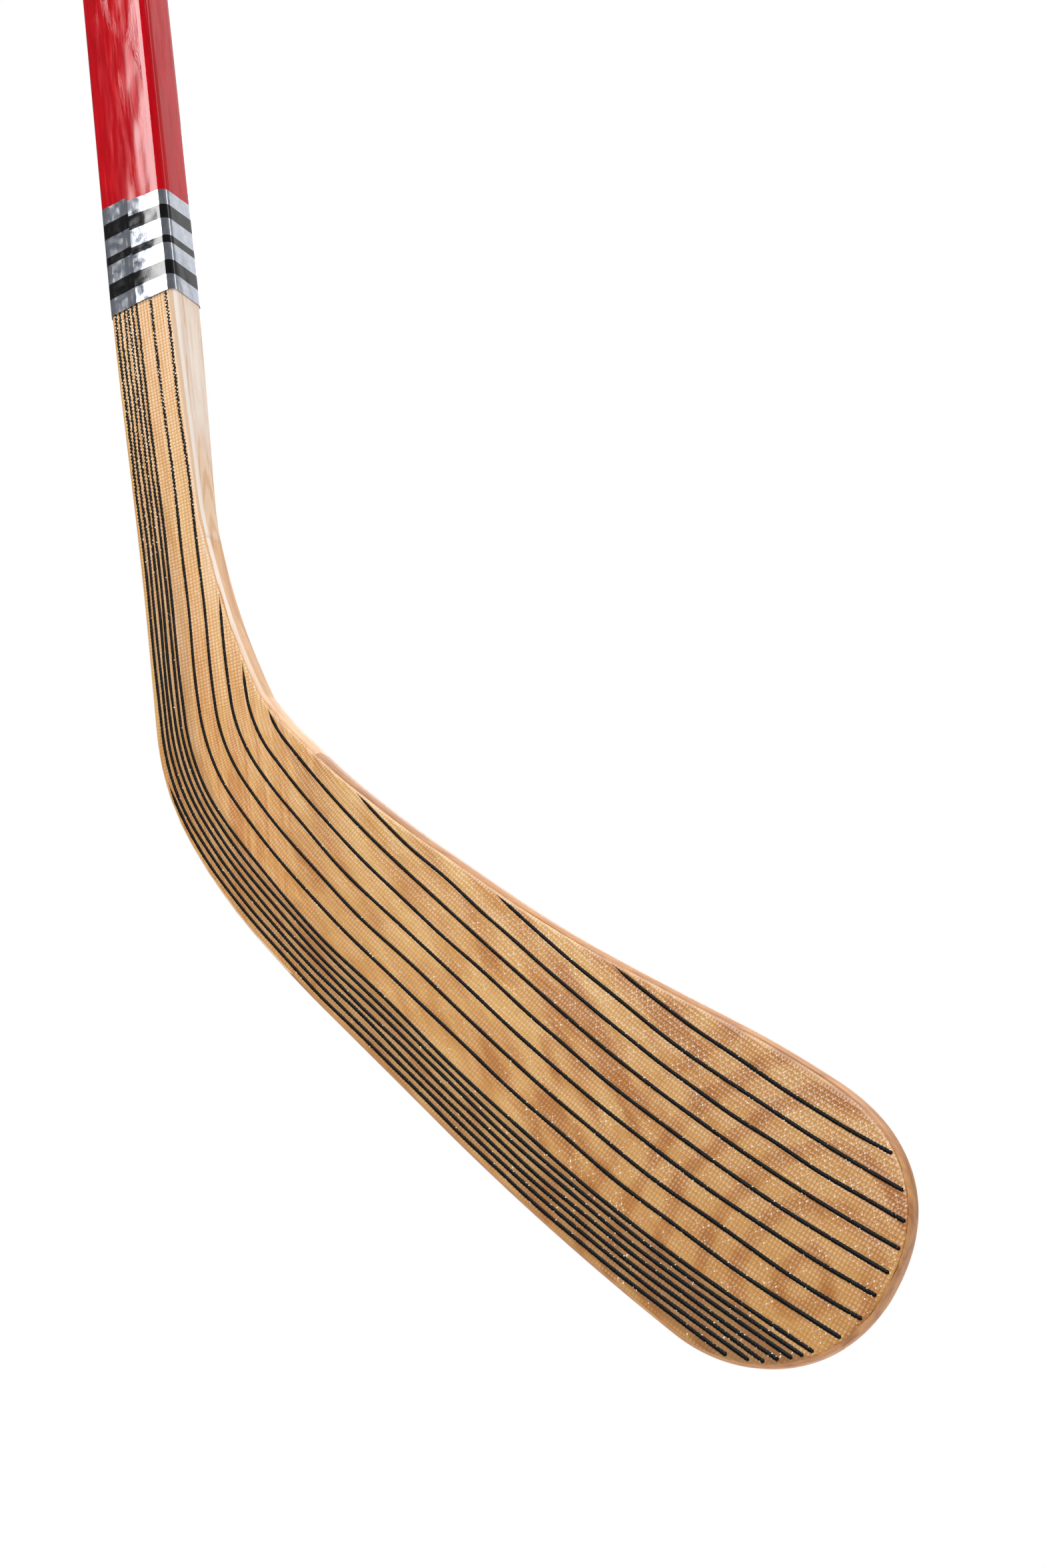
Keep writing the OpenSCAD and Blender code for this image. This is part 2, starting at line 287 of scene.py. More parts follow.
def cloth_room(s, d):
    """How far a point lies inside the cloth's long edges."""
    return np.minimum(d - cloth_low(s), cloth_high(s) - d)


def covered(s, d):
    """1 where the cloth lies over the wood, 0 on the bare rim."""
    return ease(cloth_room(s, d) / 0.5) * (s < CLOTH_END)


def wood_half(s, d):
    return half_at(s, inset(s, d)) - SKIN * covered(s, d)


def zigzag(d):
    f = np.asarray(d) / FINGER_PITCH
    k = np.floor(f)
    return np.where(k % 2 == 0, f - k, 1 - f + k)


def joint_at(d):
    v = np.minimum(d, JOINT_TOP_D)
    return JOINT_S - JOINT_SLOPE * v + FINGER * (2 * zigzag(v) - 1)


def yarn_d(k, s):
    """Where yarn k lies: close to the others on the neck, spread out on the blade."""
    close, wide = min(k, DENSE_YARNS - 1), max(k - DENSE_YARNS + 1, 0)
    neck = NECK_FIRST_D + NECK_DENSE_PITCH * close + NECK_WIDE_PITCH * wide
    blade = FIRST_D + DENSE_PITCH * close + WIDE_PITCH * wide
    d = mix(neck, blade, ease((s - SPREAD_S) / SPREAD_LEN))
    return d + YARN_RISE * (np.maximum(s - ROCKER_S, 0) / (END_S - ROCKER_S)) ** 2


def ripple(u, v, seed, waves=6):
    """A smooth irregular surface between about -1 and 1, of sines about 1 long in u and v."""
    draw = np.random.default_rng(seed)
    angles = draw.uniform(0, math.tau, waves)
    lengths = draw.uniform(0.6, 1.7, waves)
    phases = draw.uniform(0, math.tau, waves)
    total = sum(np.sin(math.tau * (u * math.cos(a) + v * math.sin(a)) / w + p)
                for a, w, p in zip(angles, lengths, phases))
    return total / math.sqrt(2 * waves)


# ---- meshes

def new_object(name, vertices, faces, material, replaced=(), strip=None, sharp=40):
    """A mesh piece that rides on the stick. strip is read by the materials."""
    mesh = bpy.data.meshes.new(name)
    points = np.asarray(vertices, float).reshape(-1, 3).tolist()
    mesh.from_pydata(points, [], [list(map(int, f)) for f in faces])
    mesh.polygons.foreach_set("use_smooth", np.ones(len(mesh.polygons), bool))
    if strip is not None:
        attribute = mesh.attributes.new("strip", "FLOAT_VECTOR", "POINT")
        attribute.data.foreach_set("vector", np.asarray(strip, np.float32).ravel())
    mesh.update()
    mesh.set_sharp_from_angle(angle=math.radians(sharp))
    mesh.materials.append(material)
    piece = add(name, mesh)
    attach(piece, "root")
    if replaced:
        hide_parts(*replaced)


def quads(n, m, offset=0, closed=False, flip=False):
    """The faces of a grid of n rows of m points. closed joins the last column to the first."""
    i, j = np.meshgrid(np.arange(n - 1), np.arange(m if closed else m - 1), indexing="ij")
    after = (j + 1) % m
    corners = [i * m + j, (i + 1) * m + j, (i + 1) * m + after, i * m + after]
    found = np.stack(corners, -1).reshape(-1, 4) + offset
    return found[:, ::-1] if flip else found


def slab(front, back):
    """Vertices and faces of a closed solid between two grids of the same shape. front is the grid on -Y."""
    n, m = front.shape[:2]
    count = n * m
    index = np.arange(count).reshape(n, m)
    ring = np.concatenate([index[0, :-1], index[:-1, -1], index[-1, :0:-1], index[:0:-1, 0]])
    following = np.roll(ring, -1)
    walls = np.stack([ring, following, following + count, ring + count], -1)
    faces = np.concatenate([quads(n, m), quads(n, m, count, flip=True), walls])
    return np.concatenate([front.reshape(-1, 3), back.reshape(-1, 3)]), faces


def strip_values(s, d, y):
    """The strip attribute: s, d and the distance behind the middle surface, in millimetres."""
    s, d, y = np.broadcast_arrays(s, d, y)
    return np.stack([s, d, y], -1).reshape(-1, 3)


def sheet(name, s, d, front, back, material):
    """A closed piece over a grid of strip points, which replaces the CAD node of its name."""
    vertices, faces = slab(place(s, d, front), place(s, d, back))
    strip = np.concatenate([strip_values(s, d, front), strip_values(s, d, back)])
    new_object(name, vertices, faces, material, [name], strip)


def wood_piece(name, s, d, material, slot):
    half = wood_half(s, d)
    sheet(name, s, d, -half, half, material)


def grid_of(rows, columns):
    """A grid whose rows are lists of points (s, d)."""
    grid = np.array([[point for point in columns(r)] for r in rows], float)
    return grid[..., 0], grid[..., 1]


RIM_ROWS = np.array([0, 0.08, 0.2, 0.4, 0.65, 0.95, 1.3, 1.7, 2.2, 2.8, 3.4])


def finger_rows(d0, d1):
    first = math.floor(d0 / FINGER_PITCH) + 1
    last = math.ceil(min(d1, JOINT_TOP_D + 0.1) / FINGER_PITCH) - 1
    return [k * FINGER_PITCH for k in range(first, last + 1)]


def ply_outer(s):
    """The toe-side ply's outer edge: the outline above the wedge's notch, the wedge's seat below it."""
    seat = mix(high_d(NOTCH_S) - NOTCH, SHAFT_W, clamp((s - NOTCH_S) / NOTCH_RUN))
    return np.where(s <= NOTCH_S, high_d(s), seat)


JOINT_STEPS = np.linspace(0, 1, 9)[1:]
NECK_S = np.concatenate([[-SHAFT_LEN, CLOTH_S - 14, CLOTH_S, -20], np.arange(TAPER_S, 192.1, 2)])


def shaft_piece(name, rows, d_of, material, slot):
    """A strip of the shaft's wood, from the butt down to the finger joint."""
    def columns(r):
        end = float(d_of(r, NECK_S[-1]))
        for s in NECK_S:
            yield s, float(d_of(r, s))
        for f in JOINT_STEPS:
            yield mix(NECK_S[-1], float(joint_at(end)), f), end
    wood_piece(name, *grid_of(rows, columns), material, slot)


def blade_piece(name, rows, material, slot, d0, d1, upper=False):
    """A strip of the blade's wood, from the finger joint to the toe."""
    sole = np.arange(308, TOE_S, 4)
    toe = toe_spots(TOE_RUN, 89.6, 1.49)

    def low(s):
        return np.maximum(d0, low_d(s))

    def high(s):
        return high_d(s) if upper else np.minimum(d1, high_d(s))

    def columns(r):
        def cell(s):
            return s, float(mix(low(s), high(s), (r - d0) / (d1 - d0)))
        for f in np.linspace(0, 0.9, 8):
            yield cell(mix(float(joint_at(r)), sole[0], f))
        for s in (*sole, *toe):
            if high(s) - low(s) > 0.4:
                yield cell(s)
    wood_piece(name, *grid_of(rows, columns), material, slot)


def make_wood(edge_wood, wedge_wood, blade_wood):
    outer = 1 - RIM_ROWS[::-1] / EDGE_PLY
    shaft_piece("shaft_edge_ply_heel_side", [*RIM_ROWS, EDGE_PLY],
                lambda r, s: r + 0 * s, edge_wood, "edge_wood")
    shaft_piece("shaft_edge_ply_toe_side", [0, *outer],
                lambda r, s: mix(SHAFT_W - EDGE_PLY, ply_outer(s), r), edge_wood, "edge_wood")

    top = float(high_d(joint_at(JOINT_TOP_D)))
    wedge_s = np.concatenate([[NOTCH_S + 0.5], np.arange(102, 192.1, 2)])

    def wedge_columns(r):
        def share(s):
            return float(mix(ply_outer(s), high_d(s), (r - SHAFT_W) / (top - SHAFT_W)))
        for s in wedge_s:
            yield s, share(s)
        for f in JOINT_STEPS:
            s = mix(wedge_s[-1], float(joint_at(r)), f)
            yield s, mix(share(s), r, f ** 4 if r < JOINT_TOP_D else 0)
    wedge_rows = [SHAFT_W, *finger_rows(SHAFT_W, top - 4), *(top - RIM_ROWS[::-1])]
    wood_piece("heel_wedge", *grid_of(wedge_rows, wedge_columns), wedge_wood, "heel_wood")

    lower = [*RIM_ROWS, *finger_rows(RIM_ROWS[-1], BLADE_LOW_D), BLADE_LOW_D]
    middle = [BLADE_LOW_D, *finger_rows(BLADE_LOW_D, BLADE_HIGH_D), BLADE_HIGH_D]
    upper = [BLADE_HIGH_D, JOINT_TOP_D, *(top - RIM_ROWS[::-1])]
    blade_piece("blade_core_lower", lower, blade_wood, "blade_wood", 0, BLADE_LOW_D)
    blade_piece("blade_core_middle", middle, blade_wood, "blade_wood", BLADE_LOW_D, BLADE_HIGH_D)
    blade_piece("blade_core_upper", upper, blade_wood, "blade_wood", BLADE_HIGH_D, top, upper=True)


CLOTH_STEP = 1.25


def make_cloth(side, name, material):
    """The resin-bonded glass cloth on one wide face, cut back from the rim."""
    toe = toe_spots(TOE_RUN - TOE_TRIM, 89, 1.5)
    s = np.concatenate([[CLOTH_S], np.arange(-12, TOE_S, CLOTH_STEP), toe])[None, :]
    low, high = cloth_low(s), cloth_high(s)
    margin = np.minimum(2.4, (high - low) / 3)
    rim = np.array([0, 0.08, 0.2, 0.4, 0.7])
    rows = [low + f * margin for f in rim]
    rows += [mix(low + margin, high - margin, f) for f in np.linspace(0, 1, 54)]
    rows += [high - f * margin for f in rim[::-1]]
    d = np.concatenate(rows)
    s = np.broadcast_to(s, d.shape)
    depth = half_at(s, inset(s, d))
    resin = 0.03 * ripple(s / 14, d / 9, 3 + side) * ease((s - 4) / 10)
    inner, outer = side * (depth - SKIN), side * (depth + resin + 0.02)
    front, back = (outer, inner) if side < 0 else (inner, outer)
    sheet(name, s, d, front, back, material)


# ---- black yarns

NECK_STEP, BLADE_STEP = 0.27, 0.433
YARN_PROFILE = [(-0.5, 0), (-0.3, 0.8), (0, 1), (0.3, 0.8), (0.5, 0)]  # across and height, as shares
NECK_END = 120  # the weft pulls the yarns into a zigzag above this s
ZIGZAG = 1.45  # length of one such turn to and fro


def yarn_run(k):
    """Where yarn k starts and ends, trimmed at the cloth's edge."""
    spots = np.arange(0 if yarn_d(k, 0) < SHAFT_W - 1.5 else 60, END_S, 0.5)
    d = yarn_d(k, spots)
    needed = np.where(spots < NECK_END, 0.1, 0.7)
    inside = spots[(cloth_room(spots, d) > needed) & (spots < CLOTH_END - 0.8)]
    return inside[0], inside[-1]


def yarn_path(k, side):
    start, end = yarn_run(k)
    fine = np.arange(max(start, 0), min(NECK_END, end), NECK_STEP)
    coarse = np.arange(max(start, NECK_END), end, BLADE_STEP)
    s = np.concatenate([fine, coarse])
    wander = 0.2 * (1 - ease((s - 60) / 60))
    crossing = np.sin(math.tau * s / ZIGZAG + 1.7 * k) + 0.6 * ripple(s / 3.1, 0 * s, 40 + k)
    drift = 0.22 * ripple(s / 45, 0 * s, 60 + k + 20 * side)
    return s, yarn_d(k, s) + wander * crossing + drift


def make_yarns(side, name, material):
    """The black yarns on one face: cords that swell and dip where the weft ties them down."""
    vertices, faces, strip, count = [], [], [], 0
    across, up = np.array(YARN_PROFILE).T[:, :, None]
    for k in range(YARNS):
        s, d = yarn_path(k, side)
        swell = 1 + 0.16 * np.sin(math.tau * s / WEAVE + k) + 0.12 * ripple(s / 2.3, 0 * s, 90 + k)
        taper = ease((s - s[0]) / (0.5 if s[0] < 1 else 9)) * 0.85 + 0.15
        taper = taper * ease((s[-1] - s) / 0.8 + 0.35)
        width = mix(*YARN_W, clamp(s / TOE_S)) * mix(1, swell, 0.5) * taper
        width = width * mix(1.5, 1.12, ease((s - 100) / 150))
        height = YARN_H * mix(0.45, 1, ease((s - 40) / 160)) * swell * taper
        base = half_at(s, inset(s, d))
        dd = d + across * width
        yy = side * (base + up * height - (up == 0) * 0.04)
        points = place(np.broadcast_to(s, dd.shape), dd, yy).transpose(1, 0, 2)
        n, m = points.shape[:2]
        vertices.append(points.reshape(-1, 3))
        strip.append(strip_values(np.broadcast_to(s, dd.shape).T, across.T + 0 * dd.T, float(k)))
        faces += [quads(n, m, count, closed=True, flip=side > 0)]
        ends = [[count + j for j in range(m)], [count + (n - 1) * m + j for j in reversed(range(m))]]
        faces += [np.array([e if side < 0 else e[::-1]]) for e in ends]
        count += n * m
    all_faces = [f for block in faces for f in block.tolist()]
    new_object(name, np.concatenate(vertices), all_faces, material, [name],
               np.concatenate(strip), sharp=75)


# ---- resin beads

def bead_spots(side):
    """Where a raised bead with a painted glint sits, mostly by the top edge and at the toe."""
    draw = np.random.default_rng(11 + side)
    i, j = np.meshgrid(np.arange(0, END_S / WEAVE), np.arange(0, BLADE_H / WEAVE), indexing="ij")
    keep = (i + j) % 2 == 0
    s, d = i[keep] * WEAVE, j[keep] * WEAVE
    s = s + draw.normal(0, 0.12, len(s))
    d = d + draw.normal(0, 0.12, len(s))
    room = cloth_room(s, d)
    from_top = high_d(s) - d
    toe = ease((s - 300) / 190)
    band = np.exp(-((from_top - mix(11, 9, toe)) / mix(9, 13, toe)) ** 2)
    patches = 0.5 + 0.5 * ripple(s / 60, d / 14, 21 + side)
    density = ease((s - 150) / 90) * (0.14 + 0.85 * band * (0.35 + 0.65 * patches) + 0.3 * toe * patches)
    density = np.where(s < 150, 0.1 * ease((s - 20) / 60), density)
    chosen = (draw.random(len(s)) < density) & (room > 0.6) & (s < CLOTH_END - 1)
    for k in range(YARNS):
        chosen &= np.abs(d - yarn_d(k, s)) > 0.95
    size = draw.uniform(0.7, 1.25, len(s)) * mix(0.62, 1, ease((s - 200) / 200))
    return s[chosen], d[chosen], size[chosen], draw.uniform(-0.5, 0.5, chosen.sum())


def fleck_spots(side):
    """Where pale flecks sit by the black yarns: the weft over a yarn on the neck, and painted highlights
    along the yarns near the toe.
    """
    draw = np.random.default_rng(31 + side)
    found = []
    for k in range(YARNS):
        s, d = yarn_path(k, side)
        on_neck = k != DENSE_YARNS - 1 and k < DENSE_YARNS + 2
        for crossing in np.arange(1, s[-1], ZIGZAG / 2):
            if crossing < s[0]:
                continue
            if crossing < NECK_END:
                chance = (0.35 if k < DENSE_YARNS else 0.6) * (1 - crossing / NECK_END) * on_neck
            else:
                chance = 0.03 + 0.14 * float(ease((crossing - 330) / 150))
            if draw.random() < chance:
                turn = 1 if round(crossing / (ZIGZAG / 2)) % 2 else -1
                near = np.interp(crossing, s, d)
                size = draw.uniform(0.75, 1.05) if crossing < NECK_END else draw.uniform(0.6, 1)
                found.append((crossing, near + turn * draw.uniform(0.25, 0.5), size, 0.9 * turn))
    return np.array(found).T


BEAD_RING = 6
BEAD_LONG, BEAD_SHORT, BEAD_RISE = 0.43, 0.26, 0.13  # a bead's half length, half width and height
BEAD_SUNK = 0.03


def make_beads(side, name, material):
    """Low domes of resin over the glass, longer across the yarns than along them."""
    groups = [bead_spots(side), fleck_spots(side)]
    s, d, size, tilt = (np.concatenate([g[i] for g in groups]) for i in range(4))
    raised = np.concatenate([np.full(len(groups[0][0]), 0.0), np.full(len(groups[1][0]), 0.1)])
    base = half_at(s, inset(s, d)) + raised
    turns = np.linspace(0, math.tau, BEAD_RING, endpoint=False)
    long_r, short_r = BEAD_LONG * size[:, None], BEAD_SHORT * size[:, None]
    u, v = long_r * np.cos(turns), short_r * np.sin(turns)
    lean = tilt[:, None]
    ring_s = s[:, None] + u * np.sin(lean) + v * np.cos(lean)
    ring_d = d[:, None] + u * np.cos(lean) - v * np.sin(lean)
    ring = place(ring_s, ring_d, side * (base[:, None] - BEAD_SUNK))
    peak = place(s, d, side * (base + BEAD_RISE * size))[:, None]
    points = np.concatenate([ring, peak], 1)
    count = len(s)
    start = np.arange(count)[:, None] * (BEAD_RING + 1)
    faces = []
    for t in range(BEAD_RING):
        corner = [start + t, start + (t + 1) % BEAD_RING, start + BEAD_RING]
        faces.append(np.concatenate(corner if side > 0 else corner[::-1], 1))
    bottom = [start + t for t in range(BEAD_RING)]
    floor = np.concatenate(bottom[::-1] if side > 0 else bottom, 1)
    all_faces = np.concatenate(faces).tolist() + floor.tolist()
    strip = strip_values(np.repeat(s, BEAD_RING + 1), np.repeat(d, BEAD_RING + 1), 0.0)
    # The beads' pale colour, from their material, is a painted glint.
    new_object(name, points, all_faces, material, (), strip, sharp=80)


# ---- lacquered shaft and foil band

STRAIGHT_W, STRAIGHT_T = SHAFT_W / 2 - CORNER_R, SHAFT_T / 2 - CORNER_R
QUARTER = math.pi / 2 * CORNER_R
LOOP_STEPS = [STRAIGHT_W, QUARTER, 2 * STRAIGHT_T, QUARTER, 2 * STRAIGHT_W, QUARTER, 2 * STRAIGHT_T, QUARTER,
              STRAIGHT_W]
LOOP_KNOTS = np.concatenate([[0], np.cumsum(LOOP_STEPS)])
LOOP = LOOP_KNOTS[-1]


def around(p, grow):
    """The section's point at arc length p from the front face's middle towards +X, grown outwards."""
    p = np.mod(p, LOOP)
    w, t = STRAIGHT_W, STRAIGHT_T
    angle = np.interp(p, LOOP_KNOTS, np.radians([-90, -90, 0, 0, 90, 90, 180, 180, 270, 270]))
    x = np.interp(p, LOOP_KNOTS, [0, w, w, w, w, -w, -w, -w, -w, 0])
    y = np.interp(p, LOOP_KNOTS, [-t, -t, -t, t, t, t, t, -t, -t, -t])
    reach = CORNER_R + grow
    return x + reach * np.cos(angle), y + reach * np.sin(angle)


def loop_spots(flat_step, corner_steps):
    """Arc lengths round the section, closer together on the corners."""
    spots = [0.0]
    for i, run in enumerate(LOOP_STEPS):
        steps = corner_steps if i % 2 else max(round(run / flat_step), 1)
        spots += list(LOOP_KNOTS[i] + run * np.arange(1, steps + 1) / steps)
    return np.array(spots[:-1])


def sleeve_points(p, z, grow):
    x, y = around(p, grow)
    x, y, z = np.broadcast_arrays(x, y, z)
    return np.stack([x, y, z], -1) * MM


FINE_RUN = 120  # how far above the foil the lacquer's mesh is fine
BUTT_EDGE = 0.9  # how far below the butt its lip begins to soften


def make_lacquer(material):
    """The lacquer coat: a sleeve whose faces are not quite flat."""
    p = loop_spots(1.0, 8)[None, :]
    bottom = -SHAFT_LEN + BAND_H - 1.5
    fine = np.arange(bottom, bottom + FINE_RUN, 1.5)
    coarse = np.arange(bottom + FINE_RUN, -BUTT_EDGE, 6)
    rows = np.concatenate([fine, coarse, [-BUTT_EDGE, -0.35, 0]])
    z = rows[:, None]
    wave = 0.006 * ripple(p / 8, z / 34, 5) + 0.0016 * ripple(p / 3, z / 12, 6)
    lip = 0.12 * ease((z + BUTT_EDGE) / BUTT_EDGE)
    turns = [0, STRAIGHT_W, LOOP / 2, LOOP - STRAIGHT_W, LOOP]
    lean = 0.0025 * np.interp(p, turns, [0, -STRAIGHT_W, 0, STRAIGHT_W, 0])
    outer = sleeve_points(p, z, LACQUER - 0.035 + wave + lean - lip)
    inner = sleeve_points(p, z, 0 * wave + 0.01)
    n, m = len(rows), p.shape[1]
    count = n * m
    rim = []
    for row in (0, n - 1):
        j = np.arange(m)
        a, b = row * m + j, row * m + (j + 1) % m
        ring = np.stack([a, b, b + count, a + count], -1)
        rim.append(ring[:, ::-1] if row == 0 else ring)
    faces = np.concatenate([quads(n, m, closed=True, flip=True), quads(n, m, count, closed=True), *rim])
    new_object("lacquer_coat", np.concatenate([outer.reshape(-1, 3), inner.reshape(-1, 3)]), faces, material,
               ["lacquer_coat"])


SEAM_X = -1.8  # the foil's outer end lies on the front face here
OVERLAP = 3.2  # and laps this far over its start
# How much too high the wrap is at its start, at the next corner, at the last corner and at its end, and how
# much too low its lower edge is at the same places.
CLIMB = (1.1, 0, 2.4, 2.7)
SAG = (0, 0, 1.0, 0.3)
STRIPES = [(-12, 6), (0, 3.2), (12, 6)]  # each stripe's distance below the band's middle, and its height
FOIL, INK = 0.03, 0.02  # thickness of the foil and of the stripes' ink


def foil_grow(p, z):
    """How far the foil's outer face stands off the shaft. p runs from under the lap to the foil's end."""
    wrinkle = 0.006 * ripple(p / 11, z / 16, 14) + 0.0018 * ripple(p / 3.4, z / 6, 15)
    lapped = ease((p - LOOP - SEAM_X) / 1.2)
    from_end = LOOP + SEAM_X + OVERLAP - p
    crimp = 0.06 * np.exp(-(from_end / 0.6) ** 2) * (1 + ripple(0 * p + 0.3, z / 2.4, 17))
    return LACQUER + 0.035 + wrinkle + 0.06 * lapped + crimp


def foil_height(p, z):
    """The height at p of a line drawn z above the band's middle. The wrap isn't quite level or square."""
    turns = [SEAM_X, STRAIGHT_W, LOOP - STRAIGHT_W, LOOP + SEAM_X]
    share = z / BAND_H + 0.5
    return z + share * np.interp(p, turns, CLIMB) - (1 - share) * np.interp(p, turns, SAG)


def foil_strip(z_low, z_high, lift, thickness, rows, cut=0.0):
    """A wrapped sheet between two heights above the band's middle, lying lift above the foil's face."""
    start, end = SEAM_X - OVERLAP + cut, LOOP + SEAM_X - cut
    p = np.linspace(start, end, 230)[None, :] + OVERLAP
    z = np.linspace(z_low, z_high, rows)[:, None]
    middle = -SHAFT_LEN + BAND_H / 2
    grow = foil_grow(p, z) + lift
    at = p - OVERLAP
    height = middle + foil_height(at, z)
    return slab(sleeve_points(at, height, grow), sleeve_points(at, height, grow - thickness))


def make_band(foil, ink):
    vertices, faces = foil_strip(-BAND_H / 2, BAND_H / 2, 0, FOIL, 44)
    new_object("foil_band", vertices, faces, foil, ["foil_band"])
    all_vertices, all_faces, count = [], [], 0
    for below, high in STRIPES:
        vertices, faces = foil_strip(-below - high / 2, -below + high / 2, 0.012, INK, 9, cut=0.02)
        all_vertices.append(vertices)
        all_faces.append(faces + count)
        count += len(vertices)
    new_object("band_stripes", np.concatenate(all_vertices), np.concatenate(all_faces), ink,
               ["band_stripes"])


# ---- materials

def rgb(*srgb):
    """A linear colour from 0 to 255 sRGB values."""
    return tuple((c / 255 / 12.92) if c <= 10 else ((c / 255 + 0.055) / 1.055) ** 2.4 for c in srgb)


class Tree:
    """A node tree, built with short calls. Most calls return the new node's first output."""

    def __init__(self, tree):
        self.tree = tree
        tree.nodes.clear()

    def put(self, socket, value):
        if isinstance(value, bpy.types.NodeSocket):
            self.tree.links.new(value, socket)
        elif hasattr(value, "__len__") and len(value) == 3 and socket.type == "RGBA":
            socket.default_value = (*value, 1)
        else:
            socket.default_value = value

    def node(self, kind, inputs, **settings):
        """A new node itself, with its inputs linked or set."""
        node = self.tree.nodes.new("ShaderNode" + kind)
        for name, value in settings.items():
            setattr(node, name, value)
        for name, value in inputs.items():
            self.put(node.inputs[name], value)
        return node

    def math(self, operation, a, b=0.0):
        return self.node("Math", {0: a, 1: b}, operation=operation).outputs[0]

    def times(self, a, b):
        return self.math("MULTIPLY", a, b)

    def plus(self, a, b):
        return self.math("ADD", a, b)

    def less(self, a, b):
        return self.math("SUBTRACT", a, b)

    def noise(self, x, y, z, sizes, detail=2.0, roughness=0.5, distortion=0.0):
        """Noise whose pattern has about those sizes along x, y and z."""
        x, y, z = (self.times(part, 1 / size) for part, size in zip((x, y, z), sizes))
        vector = self.node("CombineXYZ", {0: x, 1: y, 2: z}).outputs[0]
        inputs = {"Vector": vector, "Scale": 1.0, "Detail": detail, "Roughness": roughness,
                  "Distortion": distortion}
        return self.node("TexNoise", inputs).outputs[0]

    def map(self, value, a, b, low=0.0, high=1.0):
        """A smooth step from low, where value is a, to high, where it is b."""
        inputs = {"Value": value, "From Min": a, "From Max": b, "To Min": low, "To Max": high}
        return self.node("MapRange", inputs, interpolation_type="SMOOTHSTEP").outputs[0]

    def blend(self, factor, a, b, kind="MIX"):
        node = self.node("Mix", {}, data_type="RGBA", blend_type=kind, clamp_factor=True)
        for index, value in ((0, factor), (6, a), (7, b)):
            self.put(node.inputs[index], value)
        return node.outputs[2]

    def ramp(self, value, stops):
        node = self.node("ValToRGB", {0: value})
        elements = node.color_ramp.elements
        while len(elements) < len(stops):
            elements.new(1)
        for element, (position, colour) in zip(elements, stops):
            element.position = position
            element.color = (*colour, 1)
        return node.outputs[0]

    def bump(self, height, distance, strength=1.0):
        """A bump whose height of 1 is distance millimetres."""
        inputs = {"Height": height, "Distance": distance * MM, "Strength": strength}
        return self.node("Bump", inputs).outputs[0]


class Shader(Tree):
    """A material with one surface."""

    def __init__(self, name):
        self.material = bpy.data.materials.new(name)
        self.material.use_nodes = True
        super().__init__(self.material.node_tree)
        self.surface = self.node("BsdfPrincipled", {})
        self.node("OutputMaterial", {0: self.surface.outputs[0]})

    def finish(self, colour, rough, **others):
        """The material, with these inputs of its surface linked or set. others are in lower case."""
        for name, value in {"base_color": colour, "roughness": rough, **others}.items():
            self.put(self.surface.inputs[name.replace("_", " ").title().replace("Ior", "IOR")], value)
        return self.material

    def strip(self):
        """s, d and y of the strip, in millimetres."""
        strip = self.node("Attribute", {}, attribute_name="strip", attribute_type="GEOMETRY")
        return self.node("SeparateXYZ", {0: strip.outputs["Vector"]}).outputs

    def position(self):
        """x, y and z in millimetres."""
        vector = self.node("TexCoord", {}).outputs["Object"]
        scaled = self.node("VectorMath", {0: vector, "Scale": 1 / MM}, operation="SCALE").outputs[0]
        return self.node("SeparateXYZ", {0: scaled}).outputs


def red_lacquer():
    sh = Shader("red_lacquer")
    x, y, z = sh.position()
    around_face = sh.plus(x, sh.times(y, 1.7))
    streak = sh.noise(around_face, y, z, (0.9, 0.9, 14), detail=3, roughness=0.6)
    fine = sh.noise(around_face, y, z, (0.35, 0.35, 2.6))
    broad = sh.noise(x, y, z, (8, 8, 60), detail=1)
    deep, bright = rgb(176, 2, 16), rgb(205, 6, 24)
    colour = sh.blend(sh.map(streak, 0.35, 0.7), deep, bright)
    colour = sh.blend(sh.map(broad, 0.4, 0.7, high=0.35), colour, rgb(160, 2, 20))
    relief = sh.plus(sh.times(streak, 0.7), sh.times(fine, 0.3))
    speck = sh.noise(around_face, y, z, (0.42, 0.42, 1.3))
    patch = sh.map(sh.noise(around_face, y, z, (7, 7, 30), detail=1), 0.45, 0.62)
    above_band = sh.map(z, BAND_H - SHAFT_LEN + 20, BAND_H - SHAFT_LEN + 90, 0.15, 0.8)
    relief = sh.plus(sh.times(relief, 0.07), sh.times(sh.times(speck, patch), above_band))
    rough = sh.map(streak, 0.3, 0.7, 0.03, 0.06)
    return sh.finish(colour, rough, normal=sh.bump(relief, 0.02), ior=1.5)


def silver_foil():
    sh = Shader("silver_foil")
    x, y, z = sh.position()
    brushed = sh.noise(sh.plus(x, y), y, z, (0.28, 5, 7), detail=3, roughness=0.6)
    mottle = sh.noise(x, y, z, (3, 3, 3), detail=3)
    colour = sh.blend(sh.map(mottle, 0.35, 0.7), rgb(200, 207, 222), rgb(224, 227, 233))
    rough = sh.plus(sh.map(mottle, 0.3, 0.7, 0.03, 0.06), sh.map(brushed, 0.5, 0.8, 0.0, 0.05))
    normal = sh.bump(sh.plus(sh.times(brushed, 0.3), mottle), 0.003)
    return sh.finish(colour, rough, metallic=0.9, normal=normal)


def stripe_ink():
    sh = Shader("stripe_ink")
    x, y, z = sh.position()
    mottle = sh.noise(x, y, z, (3, 3, 3), detail=3)
    scuff = sh.noise(sh.plus(x, y), y, z, (0.3, 5, 5), detail=3)
    colour = sh.blend(sh.map(scuff, 0.55, 0.75), rgb(9, 9, 12), rgb(22, 22, 27))
    rough = sh.map(mottle, 0.3, 0.7, 0.03, 0.06)
    return sh.finish(colour, rough, normal=sh.bump(mottle, 0.003), ior=1.7)


